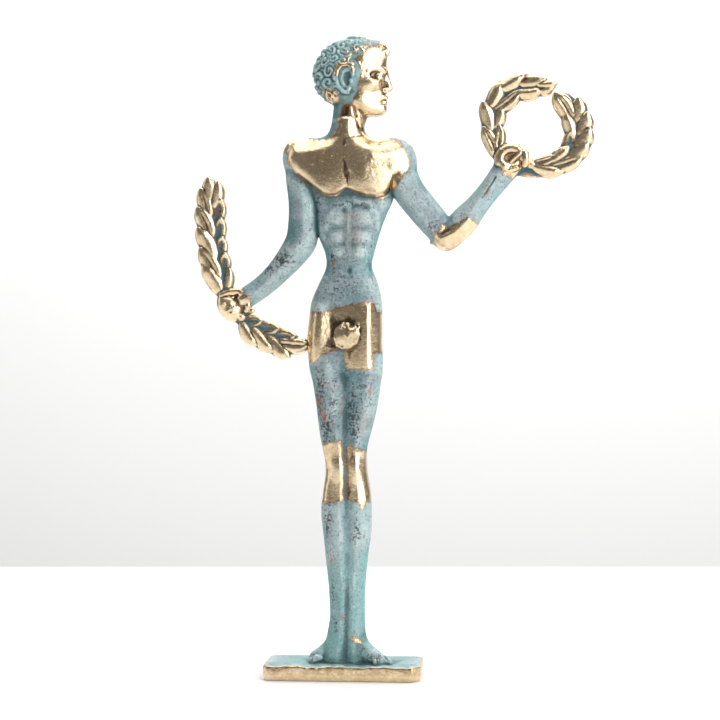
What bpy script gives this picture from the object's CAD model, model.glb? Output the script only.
import math

import bpy
import numpy as np
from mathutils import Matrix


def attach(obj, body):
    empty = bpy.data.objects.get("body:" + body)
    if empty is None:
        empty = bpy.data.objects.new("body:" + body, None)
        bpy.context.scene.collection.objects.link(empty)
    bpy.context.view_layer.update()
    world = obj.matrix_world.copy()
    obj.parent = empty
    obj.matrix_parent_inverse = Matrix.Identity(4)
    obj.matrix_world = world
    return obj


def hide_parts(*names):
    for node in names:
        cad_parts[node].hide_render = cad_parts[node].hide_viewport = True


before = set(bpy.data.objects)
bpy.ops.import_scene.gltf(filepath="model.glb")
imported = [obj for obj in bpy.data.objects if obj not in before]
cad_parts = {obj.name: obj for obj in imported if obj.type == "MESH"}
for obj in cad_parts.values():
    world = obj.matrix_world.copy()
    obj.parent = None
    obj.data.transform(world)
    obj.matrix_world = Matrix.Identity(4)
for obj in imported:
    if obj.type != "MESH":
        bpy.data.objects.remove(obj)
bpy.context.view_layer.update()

# A cast brass statue of an athlete on a low plate, with a laurel wreath and a laurel spray.
# The whole statue is one casting, so it is one piece: a field is filled with every form of the
# figure, its surface is taken off as one skin, and one metal covers it, worn bright on the
# places that a hand rubs and green-blue with patina elsewhere.
# Shapes are in millimetres in the row's frame and become metres when the mesh is made.
# A place in the standing plane is (x, z); a form's front is at negative y.

MM = 0.001
STEP = 0.3
FAR = 2.0
FACES = 195000
SEED = 11

PLATE = {"width": 53.0, "depth": 26.0, "thickness": 5.0, "corner": 3.0, "chamfer": 3.6, "edge": 0.4}
HEAD_TOP = 216.6
HEAD_HEIGHT = 25.9
WREATH = {"x": 64.5, "z": 185.7, "radius_x": 15.3, "radius_z": 14.2}
LEAF_DEPTH = 2.55

# A station of a limb is (x, z, half width, half depth).
LEFT_ARM = [
    (-14.3, 177.0, 5.6, 3.2),
    (-14.5, 170.0, 5.5, 4.5),
    (-13.8, 162.0, 5.2, 4.8),
    (-13.8, 154.5, 5.2, 4.6),
    (-14.6, 148.2, 5.3, 4.5),
    (-18.3, 142.4, 4.7, 4.4),
    (-23.5, 136.5, 3.9, 3.9),
    (-28.3, 132.2, 3.7, 3.5),
    (-33.4, 128.8, 3.6, 3.4),
]
RIGHT_UPPER_ARM = [
    (16.9, 176.4, 5.4, 3.2),
    (19.6, 169.6, 5.5, 4.6),
    (22.3, 164.3, 5.4, 5.0),
    (26.2, 159.3, 5.3, 4.8),
    (30.2, 154.4, 5.1, 4.5),
    (34.4, 149.2, 4.6, 4.2),
]
TORSO = [
    (-9.6, 101.0),
    (-11.7, 107.0),
    (-12.6, 114.0),
    (-12.0, 121.0),
    (-10.9, 128.0),
    (-8.3, 134.0),
    (-6.1, 139.0),
    (-6.5, 144.0),
    (-8.9, 150.0),
    (-9.7, 156.0),
    (-10.8, 161.0),
    (-13.6, 165.5),
    (-17.4, 169.2),
    (-19.5, 172.6),
    (-20.1, 176.4),
    (-19.2, 179.6),
    (-16.8, 181.4),
    (-12.0, 182.1),
    (-8.4, 182.7),
    (-5.8, 184.0),
    (-4.5, 186.6),
    (-3.9, 190.5),
    (-3.4, 195.0),
    (-2.4, 199.0),
    (2.6, 200.4),
    (7.6, 199.0),
    (8.4, 194.0),
    (8.0, 190.2),
    (7.2, 187.6),
    (7.1, 185.2),
    (8.7, 183.1),
    (12.6, 182.0),
    (17.0, 181.5),
    (20.4, 180.2),
    (22.4, 177.6),
    (23.4, 174.4),
    (22.6, 171.2),
    (20.4, 168.2),
    (17.8, 164.8),
    (16.2, 160.5),
    (14.2, 156.0),
    (12.0, 150.0),
    (10.3, 144.0),
    (9.4, 139.0),
    (11.3, 134.0),
    (12.7, 128.0),
    (13.1, 121.0),
    (13.1, 114.0),
    (12.8, 107.0),
    (11.2, 101.0),
    (0.6, 99.4),
]
TORSO_DEPTH = [
    (99.0, 4.2),
    (107.0, 5.6),
    (114.0, 6.0),
    (121.0, 6.0),
    (128.0, 5.6),
    (134.0, 5.2),
    (139.0, 5.0),
    (144.0, 5.2),
    (150.0, 5.5),
    (156.0, 5.8),
    (162.0, 6.0),
    (168.0, 6.1),
    (173.0, 6.0),
    (178.0, 5.6),
    (182.0, 5.1),
    (186.0, 4.8),
    (190.0, 4.7),
    (201.0, 4.7),
]
TORSO_EDGE = 5.6


RIGHT_FOREARM = [
    (34.8, 148.0, 3.6, 3.7),
    (38.2, 151.5, 4.5, 4.3),
    (41.1, 154.9, 4.7, 4.3),
    (45.1, 159.6, 3.9, 4.0),
    (49.0, 164.3, 3.7, 3.6),
    (53.2, 169.8, 4.1, 3.4),
    (56.6, 174.2, 4.6, 3.0),
]

# A station of an upright form is (z, left edge, right edge, half depth).
# A station of the legs is (z, left edge, groove between them, right edge, half depth).
LEGS = [
    (111.0, -11.4, -0.3, 12.3, 5.4),
    (106.0, -11.6, -0.2, 12.9, 6.1),
    (100.0, -10.7, -0.1, 12.5, 6.0),
    (92.0, -9.4, 0.1, 11.4, 5.6),
    (84.0, -8.5, 0.3, 9.5, 5.1),
    (77.0, -7.2, 0.4, 7.8, 4.7),
    (70.0, -6.2, 0.5, 7.9, 4.5),
    (63.0, -7.1, 0.7, 9.0, 4.5),
    (56.0, -7.8, 0.9, 9.4, 4.8),
    (49.0, -7.1, 1.1, 9.3, 4.8),
    (42.0, -6.4, 1.3, 8.3, 4.5),
    (35.0, -5.7, 1.5, 7.6, 4.1),
    (28.0, -5.1, 1.4, 7.1, 3.8),
    (20.0, -4.9, 1.2, 7.1, 3.6),
    (13.0, -6.0, 1.0, 7.4, 3.8),
    (6.0, -8.0, 1.0, 8.6, 4.4),
]

UPPER_STEM = [
    (-39.0, 128.5),
    (-42.8, 136.6),
    (-45.0, 143.5),
    (-46.0, 150.5),
    (-46.1, 158.0),
    (-46.2, 164.0),
    (-46.3, 169.0),
]
LOWER_STEM = [
    (-36.2, 122.8),
    (-31.8, 118.0),
    (-27.6, 115.4),
    (-23.0, 113.8),
    (-18.0, 112.3),
    (-12.2, 111.8),
]


# Curves and outlines


def spline(stations, spacing=0.15):
    """A uniform Catmull-Rom curve through rows of numbers, as dense rows."""
    knots = np.array(stations, float)
    knots = np.vstack([2 * knots[0] - knots[1], knots, 2 * knots[-1] - knots[-2]])
    rows = []
    for a, b, c, d in zip(knots, knots[1:], knots[2:], knots[3:]):
        count = max(2, int(np.hypot(*(c - b)[:2]) / spacing))
        t = (np.arange(count) / count)[:, None]
        rows.append(
            b
            + 0.5 * t * (c - a)
            + t**2 * (a - 2.5 * b + 2 * c - 0.5 * d)
            + t**3 * (1.5 * (b - c) + 0.5 * (d - a))
        )
    rows.append(knots[-2][None])
    return np.vstack(rows)


def smoothstep(value):
    t = np.clip(value, 0, 1)
    return t * t * (3 - 2 * t)


def inside(outline, x, z):
    """The distance inside a closed outline, negative outside it."""
    points = np.array(outline, float)
    best = np.full(np.broadcast(x, z).shape, 1e9)
    sign = np.ones(best.shape)
    for (ax, az), (bx, bz) in zip(points, np.roll(points, -1, axis=0)):
        ex, ez = bx - ax, bz - az
        wx, wz = x - ax, z - az
        t = np.clip((wx * ex + wz * ez) / (ex * ex + ez * ez), 0, 1)
        best = np.minimum(best, (wx - ex * t) ** 2 + (wz - ez * t) ** 2)
        above, below = z >= az, z < bz
        left = ex * wz > ez * wx
        crossing = (above & below & left) | (~above & ~below & ~left)
        sign = np.where(crossing, -sign, sign)
    return -sign * np.sqrt(best)


def near_line(points, x, z):
    """The distance to an open line in the standing plane."""
    best = np.full(np.broadcast(x, z).shape, 1e9)
    for (ax, az), (bx, bz) in zip(points, points[1:]):
        ex, ez = bx - ax, bz - az
        wx, wz = x - ax, z - az
        t = np.clip((wx * ex + wz * ez) / (ex * ex + ez * ez), 0, 1)
        best = np.minimum(best, (wx - ex * t) ** 2 + (wz - ez * t) ** 2)
    return np.sqrt(best)


def stroke(points, height, width, x, z):
    """A soft ridge along a line, or a groove where the height is negative."""
    return height * np.exp(-((near_line(points, x, z) / width) ** 2))


def oval(centre, size, height, x, z, power=2.5, rim=0.5):
    reach = (
        np.abs((x - centre[0]) / size[0]) ** power + np.abs((z - centre[1]) / size[1]) ** power
    ) ** (1 / power)
    return height * smoothstep((1 - reach) / rim)


def profile(knots, x, reach=0.5):
    """A height read along x from its knots, with its corners rounded."""
    at, height = np.array(knots, float).T
    return sum(np.interp(x + reach * step, at, height) for step in (-1, -0.5, 0, 0.5, 1)) / 5


def closed_curve(points):
    knots = np.array(points, float)
    ring = np.vstack([knots, knots[:1]])
    rows = spline(np.vstack([ring[-2], ring, ring[1]]), 1.2)
    return rows[:-1]


def inflated(field, outline, edge, depths, soft, front, back, power=2.2):
    """A form with any outline: rounded over `edge` from its border and full beyond that."""
    ring = closed_curve(outline)
    low, high = ring.min(0) - 2, ring.max(0) + 2
    cuts = field.window((*low, -10.0), (*high, 10.0))
    x, z = field.plane(cuts)
    within = inside(ring, x, z)
    reach = np.maximum(1 - within / edge, 0)
    rows = spline(depths)
    thick = np.interp(z, rows[:, 0], rows[:, 1]) + 0 * x
    size = np.full(reach.shape, edge)
    shape = pillow(reach, size, thick + front(x, z), thick + back(x, z), field.depth(cuts), power)
    field.join(cuts, shape, soft)


# The field: negative inside the metal, in millimetres near its surface


class Field:
    """Values on a regular grid, with axes in the order x, z, y."""

    def __init__(self, low, high):
        self.axes = [np.arange(a, b + STEP, STEP, dtype=np.float32) for a, b in zip(low, high)]
        self.value = np.full([len(axis) for axis in self.axes], FAR, np.float32)

    def window(self, low, high):
        cuts = []
        for axis, a, b in zip(self.axes, low, high):
            first, last = np.searchsorted(axis, [a, b])
            cuts.append(slice(max(int(first) - 1, 0), int(last) + 1))
        return tuple(cuts)

    def plane(self, cuts):
        return self.axes[0][cuts[0]][:, None], self.axes[1][cuts[1]][None, :]

    def depth(self, cuts):
        return self.axes[2][cuts[2]][None, None, :]

    def space(self, cuts):
        x, z = self.plane(cuts)
        return x[..., None], self.depth(cuts), z[..., None]

    def join(self, cuts, shape, soft):
        here = self.value[cuts]
        self.value[cuts] = softest(here, np.minimum(shape, FAR), soft)

    def carve(self, cuts, shape, soft):
        here = self.value[cuts]
        self.value[cuts] = -softest(-here, shape, soft)


def softest(a, b, soft):
    """The lower of two fields, rounded where they meet."""
    near = np.clip(1 - np.abs(a - b) / soft, 0, None)
    return (np.minimum(a, b) - near * near * soft / 4).astype(np.float32)


def pillow(reach, size, front, back, y, power):
    """A cushion-like form: reach is 0 at its middle line and 1 at its outline."""
    deep = np.where(y < 0, front[..., None], back[..., None]).astype(np.float32)
    wide = reach[..., None].astype(np.float32)
    p = np.asarray(power, np.float32)
    p = p[..., None] if p.ndim else p
    far = (wide**p + (np.abs(y) / deep) ** p) ** (1 / p)
    return (far - 1) * np.minimum(np.asarray(size, np.float32)[..., None], deep)


def along_curve(rows, x, z):
    """For each place, the distance to a dense curve, the nearest row, and the signed offset."""
    flat_x = np.broadcast_to(x, np.broadcast(x, z).shape).ravel()
    flat_z = np.broadcast_to(z, np.broadcast(x, z).shape).ravel()
    nearest = np.empty(len(flat_x), int)
    for start in range(0, len(flat_x), 20000):
        part = slice(start, start + 20000)
        gap = (flat_x[part, None] - rows[:, 0]) ** 2 + (flat_z[part, None] - rows[:, 1]) ** 2
        nearest[part] = gap.argmin(1)
    tangent = np.gradient(rows[:, :2], axis=0)
    tangent /= np.linalg.norm(tangent, axis=1)[:, None]
    dx, dz = flat_x - rows[nearest, 0], flat_z - rows[nearest, 1]
    offset = tangent[nearest, 0] * dz - tangent[nearest, 1] * dx
    shape = np.broadcast(x, z).shape
    return np.hypot(dx, dz).reshape(shape), nearest.reshape(shape), offset.reshape(shape)


def limb(field, stations, soft, power=2.4, front=None, back=None):
    rows = spline(stations)
    low = (rows[:, :2] - rows[:, 2:3]).min(0) - 2
    high = (rows[:, :2] + rows[:, 2:3]).max(0) + 2
    deep = rows[:, 3].max() + 2.5
    cuts = field.window((*low, -deep), (*high, deep))
    x, z = field.plane(cuts)
    away, at, offset = along_curve(rows, x, z)
    half, thick = rows[at, 2], rows[at, 3]
    rise = front(x, z, offset / half, at / len(rows)) if front else 0
    fall = back(x, z, offset / half, at / len(rows)) if back else 0
    shape = pillow(away / half, half, thick + rise, thick + fall, field.depth(cuts), power)
    soft = soft(x, z)[..., None] if callable(soft) else soft
    field.join(cuts, shape, soft)


def upright(field, stations, soft, power=2.6, front=None, back=None, cap=1.5):
    rows = spline([(z, 0.5 * (a + b), 0.5 * (b - a), d) for z, a, b, d in stations])
    rows = rows[np.argsort(rows[:, 0])]
    low = (rows[:, 1] - rows[:, 2]).min() - 2
    high = (rows[:, 1] + rows[:, 2]).max() + 2
    deep = rows[:, 3].max() + 3.5
    bottom, top = rows[0, 0], rows[-1, 0]
    cuts = field.window((low, bottom - 2, -deep), (high, top + 2, deep))
    x, z = field.plane(cuts)
    middle, half, thick = (np.interp(z, rows[:, 0], rows[:, i]) for i in (1, 2, 3))
    power = power(z) + 0 * x if callable(power) else power
    side = (x - middle) / half
    over = np.maximum(np.maximum(z - top, bottom - z), 0) / cap
    reach = (np.abs(side) ** power + over**power) ** (1 / power)
    half, thick = np.broadcast_arrays(half, thick + 0 * x)
    rise = front(x, z, side) if front else 0
    fall = back(x, z, side) if back else 0
    size = np.broadcast_to(half, reach.shape)
    shape = pillow(reach, size, thick + rise, thick + fall, field.depth(cuts), power)
    field.join(cuts, shape, soft)


def skin_depth(field, x, z):
    """How far the metal reaches in front of the standing plane at one place."""
    i = int(np.clip(np.searchsorted(field.axes[0], x), 0, len(field.axes[0]) - 1))
    k = int(np.clip(np.searchsorted(field.axes[1], z), 0, len(field.axes[1]) - 1))
    solid = np.nonzero(field.value[i, k] < 0)[0]
    return float(-field.axes[2][solid[0]]) if len(solid) else 0.0


def on_skin(field, line, side, lift):
    """Points (x, y, z) along a line of (x, z), `lift` above the surface on one side."""
    return [(x, side * (skin_depth(field, x, z) + lift), z) for x, z in line]
CHEST_EDGE = [
    (-20.0, 172.0),
    (-15.4, 169.6),
    (-12.2, 167.0),
    (-9.2, 164.7),
    (-6.8, 163.0),
    (-4.4, 162.3),
    (-2.0, 162.5),
    (-0.3, 163.6),
    (1.0, 164.6),
    (2.0, 164.4),
    (3.4, 163.6),
    (5.1, 163.0),
    (8.0, 162.2),
    (11.4, 161.9),
    (14.3, 162.5),
    (16.0, 164.4),
    (17.2, 167.0),
    (19.6, 169.8),
    (23.0, 172.0),
    (24.0, 190.0),
    (-22.0, 190.0),
]


def around(points, radius, margin):
    """A window's corners round points (x, y, z), in the field's order x, z, y."""
    spots = np.array(points, float)
    low, high = spots.min(0) - radius - margin, spots.max(0) + radius + margin
    return (low[0], low[2], low[1]), (high[0], high[2], high[1])


def ball(field, centre, radii, soft, turn=0.0, cut=False):
    """An ellipsoid at (x, y, z), turned by `turn` radians in the standing plane."""
    cuts = field.window(*around([centre], max(radii), soft + 0.9))
    x, y, z = field.space(cuts)
    dx, dz = x - centre[0], z - centre[2]
    a = (dx * math.cos(turn) + dz * math.sin(turn)) / radii[0]
    c = (dz * math.cos(turn) - dx * math.sin(turn)) / radii[2]
    b = (y - centre[1]) / radii[1]
    far = np.sqrt(a * a + b * b + c * c) + 1e-6
    steep = np.sqrt((a / radii[0]) ** 2 + (b / radii[1]) ** 2 + (c / radii[2]) ** 2) + 1e-6
    shape = far * (far - 1) / steep
    (field.carve if cut else field.join)(cuts, shape, soft)


def tube(field, points, radii, soft, cut=False, flat=1.0):
    """A round bar through points (x, y, z), its radius running from the first to the last."""
    spots = np.array(points, float)
    radius = np.interp(np.arange(len(spots)), [0, len(spots) - 1], radii)
    cuts = field.window(*around(spots, max(radii), soft + 0.9))
    x, y, z = field.space(cuts)
    shape = None
    for p, q, r0, r1 in zip(spots, spots[1:], radius, radius[1:]):
        d = q - p
        t = ((x - p[0]) * d[0] + (y - p[1]) * d[1] + (z - p[2]) * d[2]) / (d @ d)
        t = np.clip(t, 0, 1)
        gap = np.sqrt(
            (x - p[0] - t * d[0]) ** 2
            + ((y - p[1] - t * d[1]) * flat) ** 2
            + (z - p[2] - t * d[2]) ** 2
        ) - (r0 + (r1 - r0) * t)
        shape = gap if shape is None else np.minimum(shape, gap)
    (field.carve if cut else field.join)(cuts, shape, soft)


# Relief of the trunk's front

BELLY = [
    ((-2.3, 155.2), (3.6, 3.9), 0.75),
    ((7.0, 155.6), (4.8, 4.2), 0.95),
    ((-2.0, 149.0), (3.4, 3.0), 0.7),
    ((6.7, 149.0), (4.6, 3.2), 0.9),
    ((-1.4, 143.8), (3.0, 2.6), 0.5),
    ((5.7, 143.8), (3.7, 2.7), 0.6),
]
LINEA_ALBA = [(2.0, 160.0), (1.9, 152.0), (2.0, 142.0), (2.1, 139.5)]
THIGHS = [
    (-13.0, 0.2),
    (-9.6, 1.3),
    (-7.9, 1.5),
    (-4.0, 0.1),
    (-3.0, 0.0),
    (2.6, 0.3),
    (8.0, 1.4),
    (8.9, 1.4),
    (10.9, 0.4),
    (13.0, 0.1),
]
NECK_PLANES = [(-4.0, 0.0), (0.8, 0.75), (1.6, 0.75), (6.2, -0.55), (8.0, -0.9)]


def lobe(centre, spread, height, x, z):
    """An egg-shaped swelling: spread is its reach to the left, right, down and up."""
    wider = np.clip(z - centre[1], 0, None)
    left, right = spread[0] + 0.9 * wider, spread[1] + 0.9 * wider
    across = np.where(x < centre[0], (x - centre[0]) / left, (x - centre[0]) / right)
    down = np.where(z < centre[1], (z - centre[1]) / spread[2], (z - centre[1]) / spread[3])
    return height * np.clip(1 - across**2 - down**2, 0, 1) ** 0.8


def torso_front(x, z):
    chest = smoothstep(inside(CHEST_EDGE, x, z) / 1.5)
    left = lobe((-5.6, 170.0), (13.0, 8.6, 9.4, 13.0), 1.3, x, z)
    right = lobe((7.6, 170.0), (6.6, 15.0, 9.4, 13.0), 1.8, x, z)
    rise = (0.75 + np.maximum(left, right)) * chest
    upper = smoothstep((z - 158.0) / 8.0)
    turned_away = 1.4 * np.log1p(np.exp(np.clip((x - 6.8) / 1.4, -20, 20)))
    rise = rise - 0.23 * turned_away * upper * (1 - smoothstep((z - 180.0) / 5.0))
    for centre, size, height in BELLY:
        rise = rise + oval(centre, size, height, x, z, 2.8, 0.9)
    rise = rise + stroke(LINEA_ALBA, 0.3, 1.0, x, z) * smoothstep((z - 139.0) / 6.0)
    for line in RIB_ARCH:
        rise = rise + stroke(line, 0.45, 1.1, x, z)
    rise = rise - 0.5 * np.exp(-((x - NAVEL[0]) ** 2 / 0.5 + (z - NAVEL[1]) ** 2 / 1.6))
    rise = rise + 0.7 * np.exp(-(((x - 2.0) / 8.0) ** 2)) * smoothstep((163.0 - z) / 12.0)
    rise = rise + profile(THIGHS, x) * smoothstep((129.0 - z) / 4.5)
    rise = rise + profile(NECK_PLANES, x, 0.7) * smoothstep((z - 179.0) / 6.0)
    groove = [(2.8, 197.0), (4.0, 191.0), (5.4, 186.0)]
    return rise + stroke(groove, -0.5, 0.42, x, z)


def torso_back(x, z):
    rise = oval((-8.2, 170.5), (6.2, 7.4), 0.9, x, z, 2.2, 0.8)
    rise = rise + oval((11.4, 170.5), (6.4, 7.4), 0.9, x, z, 2.2, 0.8)
    rise = rise + stroke([(1.6, 178.0), (1.7, 160.0), (1.7, 128.0)], -1.0, 1.5, x, z)
    rise = rise + oval((-5.2, 114.0), (6.8, 8.6), 2.1, x, z, 2.2, 0.95)
    return rise + oval((6.8, 114.0), (6.8, 8.6), 2.1, x, z, 2.2, 0.95)


RIB_ARCH = [
    [(0.6, 159.6), (-2.4, 158.4), (-4.8, 155.6), (-5.6, 152.0)],
    [(4.6, 161.0), (8.8, 160.0), (11.6, 156.4), (12.0, 151.8)],
]
NAVEL = (2.2, 137.4)


def ridged(height, where=0.0):
    """A crease along a limb's front, so that two planes meet there."""

    def front(x, z, side, share):
        return height * (1 - np.clip(np.abs(side - where), 0, 1))

    return front


def leg(field, outer, inner, ridge, knee, soft):
    """One leg: its outline, the line where its two front planes meet, and its knee."""
    overlap = 2.2
    rows = []
    for z, left, groove, right, deep in LEGS:
        edges = sorted([left if outer < 0 else right, groove + (overlap if outer < 0 else -overlap)])
        rows.append((z, edges[0], edges[1], deep))

    def front(x, z, side):
        rise = 0.95 * (1 - np.clip(np.abs(side - ridge(z)) / 1.1, 0, 1))
        cap = oval(knee, (2.7, 5.6), 0.5, x, z, 2.2, 0.9)
        return (rise + cap) * (1 - np.clip(np.abs(side), 0, 1) ** 8)

    def back(x, z, side):
        calf = oval((knee[0] + 0.6 * outer, 52.0), (3.6, 13.0), 1.1, x, z, 2.0, 0.9)
        hollow = oval((knee[0], 69.5), (3.0, 3.6), -0.6, x, z, 2.0, 0.9)
        return calf + hollow

    upright(field, rows, soft, 2.5, front, back)


def legs(field):
    def left_ridge(z):
        return np.interp(z, [10, 40, 70, 100, 125], [0.0, 0.1, 0.2, 0.0, -0.1])

    def right_ridge(z):
        return np.interp(z, [10, 40, 70, 90, 125], [0.0, 0.1, 0.2, 0.45, 0.55])

    leg(field, -1, 1, left_ridge, (-2.4, 70.4), 1.5)
    leg(field, 1, -1, right_ridge, (4.7, 70.4), 1.3)


def trunk(field):
    inflated(field, TORSO, TORSO_EDGE, TORSO_DEPTH, 1.2, torso_front, torso_back)
    gx, gz = 1.6, 115.6
    deep = skin_depth(field, gx, gz)
    ball(field, (gx, -deep + 0.8, gz), (4.5, 2.3, 4.5), 0.9)
    ball(field, (gx + 1.9, -deep - 0.7, gz + 1.0), (1.9, 1.0, 1.5), 0.8)
    curls = [
        [(-1.8, 2.6), (-1.0, 4.2)],
        [(0.1, 3.6), (0.8, 1.4), (2.6, 1.6), (2.9, 4.0), (3.6, 4.5), (4.0, 3.0), (3.2, 1.6)],
        [(-0.9, 2.4), (-0.7, 0.4), (0.5, -0.6), (1.0, 0.6)],
        [(-4.2, -0.6), (-3.4, -3.2), (-1.6, -4.1), (0.6, -3.4), (2.6, -2.2), (4.2, 0.4)],
    ]
    for curl in curls:
        line = [(gx + a, gz + b) for a, b in curl]
        tube(field, on_skin(field, line, -1, -0.1), (0.46, 0.4), 0.35)


def shoulder_blend(x, z):
    return 0.45 + 2.6 * smoothstep((z - 168.0) / 8.0) + 0 * x


def arms(field):
    limb(field, LEFT_ARM, shoulder_blend, 2.5, ridged(0.7, 0.1), ridged(0.3))
    limb(field, RIGHT_UPPER_ARM, shoulder_blend, 2.5, ridged(1.2, -0.45), ridged(0.3))
    limb(field, RIGHT_FOREARM, 1.0, 2.4, ridged(0.8, 0.1), ridged(0.3))
    ball(field, (35.2, 0.0, 149.2), (4.7, 4.4, 4.1), 1.2, 0.3)
    facet = [(29.6, 147.0), (33.0, 148.4), (38.0, 150.4), (42.0, 154.6)]
    tube(field, on_skin(field, facet, -1, -0.35), (0.5, 0.5), 1.1)
    crease = [(51.4, -3.9, 168.8), (49.2, -4.1, 165.4), (47.0, -4.4, 162.0)]
    tube(field, crease, (0.35, 0.2), 0.25, cut=True)


# The head, in profile in the standing plane

CHIN = HEAD_TOP - HEAD_HEIGHT
HAIRLINE = CHIN + 0.86 * HEAD_HEIGHT
THIRD = (HAIRLINE - CHIN) / 3
BROW = CHIN + 2 * THIRD
NOSE_BASE = CHIN + THIRD
MOUTH = CHIN + 0.64 * THIRD
FACE_FRONT = 14.6
SKULL = [
    (HEAD_TOP - 0.1, 1.0, 6.6, 1.6),
    (HEAD_TOP - 1.3, -2.8, 12.0, 3.8),
    (HEAD_TOP - 4.0, -6.4, 14.9, 5.4),
    (HEAD_TOP - 8.0, -8.7, 14.6, 6.3),
    (HEAD_TOP - 12.2, -9.6, FACE_FRONT, 6.6),
    (HEAD_TOP - 16.8, -8.9, FACE_FRONT - 0.6, 6.4),
    (HEAD_TOP - 20.2, -6.6, FACE_FRONT - 0.3, 5.8),
    (HEAD_TOP - 22.4, -4.0, FACE_FRONT - 0.8, 5.2),
    (HEAD_TOP - 24.2, 2.0, FACE_FRONT - 0.9, 4.5),
    (CHIN, 5.4, FACE_FRONT - 1.2, 3.4),
]
HAIR_EDGE = [
    (3.4, 198.6),
    (4.4, 203.0),
    (4.8, 206.8),
    (3.4, 208.6),
    (3.6, 209.8),
    (7.4, 211.0),
    (8.8, 213.6),
    (13.0, 215.0),
    (14.0, 222.0),
    (-16.0, 222.0),
    (-16.0, 194.6),
    (-3.0, 194.6),
    (-1.4, 197.0),
]
BAND = [(4.6, 209.0), (6.6, 209.5), (9.4, 210.0), (12.2, 210.2), (14.0, 210.3)]


def narrowed(x, z, side):
    """The head is narrower towards the face than at the back."""
    return -1.6 * smoothstep((x - 6.0) / 9.0) - 0.9 * smoothstep((-1.0 - x) / 10.0)


def head(field):
    upright(field, SKULL, 0.7, 2.3, narrowed, narrowed, cap=0.8)
    ball(field, (12.7, 0, CHIN + 2.0), (1.9, 2.7, 2.0), 0.9)
    tube(field, [(13.7, 0, BROW + 0.4), (14.2, 0, BROW - 1.6), (15.4, 0, NOSE_BASE + 1.5)], (0.8, 1.15), 0.8)
    ball(field, (14.8, 0, NOSE_BASE + 0.9), (1.3, 1.25, 1.0), 0.5)
    ball(field, (13.9, 0, MOUTH + 0.85), (1.25, 2.0, 0.7), 0.4)
    ball(field, (13.7, 0, MOUTH - 0.75), (1.2, 1.8, 0.75), 0.4)
    for side in (-1, 1):
        tube(field, on_skin(field, [(4.8, 195.2), (8.4, 193.0), (12.0, 192.2)], side, -1.2), (1.7, 1.4), 1.6)
        ball(field, (8.6, side * (skin_depth(field, 8.6, 201.0) - 0.9), 200.9), (3.6, 1.4, 2.0), 1.6)
        socket = on_skin(field, [(11.6, BROW - 1.9)], side, 0.95)[0]
        ball(field, socket, (2.3, 1.4, 1.6), 0.9, cut=True)
        eye = on_skin(field, [(11.3, BROW - 2.3)], side, -0.55)[0]
        ball(field, eye, (1.8, 1.1, 1.0), 0.15)
        brow_line = [(8.4, BROW - 0.7), (10.4, BROW + 0.35), (12.4, BROW + 0.45), (13.7, BROW - 0.1)]
        tube(field, on_skin(field, brow_line, side, -0.3), (0.5, 0.75), 0.7)
        upper = [(9.1, BROW - 2.6), (10.2, BROW - 1.7), (11.6, BROW - 1.45), (13.0, BROW - 2.3)]
        tube(field, on_skin(field, upper, side, 0.0), (0.26, 0.34), 0.2)
        under = [(9.3, BROW - 2.7), (10.6, BROW - 3.35), (12.0, BROW - 3.3), (13.0, BROW - 2.6)]
        tube(field, on_skin(field, under, side, -0.08), (0.24, 0.26), 0.22)
        ball(field, (14.1, side * 1.15, NOSE_BASE + 0.7), (1.05, 0.75, 0.8), 0.35)
        lips = [(15.1, side * 0.3, MOUTH + 0.05), (13.9, side * 1.7, MOUTH), (12.9, side * 2.5, MOUTH - 0.1)]
        tube(field, lips, (0.26, 0.14), 0.2, cut=True)
        ear(field, side)
    hair(field)
    for side in (-1, 1):
        tube(field, on_skin(field, BAND, side, -0.05), (0.3, 0.5), 0.3)
        forelock(field, side)


def forelock(field, side):
    """Short locks over the forehead and in front of the ear."""
    locks = [
        [(12.4, 214.4), (13.8, 213.4), (14.5, 211.9), (13.6, 211.3)],
        [(10.6, 214.9), (12.2, 214.2), (13.2, 212.8), (12.5, 212.0)],
        [(5.4, 207.6), (6.2, 206.0), (5.9, 204.2), (6.5, 202.6)],
        [(4.5, 207.2), (5.1, 205.4), (4.9, 203.6), (5.5, 202.2)],
    ]
    for number, lock in enumerate(locks):
        width = 0.5 if number < 2 else 0.36
        tube(field, on_skin(field, lock, side, 0.0), (width, width * 0.8), 0.3)
    tube(field, [(14.4, side * 1.1, 213.9), (15.2, side * 0.8, 212.6), (14.7, side * 0.9, 211.2)], (0.6, 0.5), 0.4)


def ear(field, side):
    y = side * 6.3
    helix = [(3.4, 203.6), (3.3, 205.6), (1.8, 207.0), (-0.4, 206.8), (-1.9, 205.0), (-2.2, 202.2)]
    helix += [(-1.4, 199.6), (0.2, 197.9), (1.6, 197.6), (2.2, 198.8)]
    ball(field, (0.8, side * 5.7, 202.4), (3.0, 1.1, 4.6), 0.5)
    tube(field, [(a, y, b) for a, b in helix], (0.75, 0.7), 0.3)
    ball(field, (1.6, side * 7.2, 202.2), (1.7, 1.4, 3.0), 0.4, cut=True)
    tube(field, [(1.9, y, 205.2), (0.2, y, 204.4), (-0.5, y, 202.2), (0.3, y, 200.2)], (0.5, 0.5), 0.3)
    ball(field, (3.0, side * 6.0, 201.4), (0.9, 0.8, 1.1), 0.3)


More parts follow.
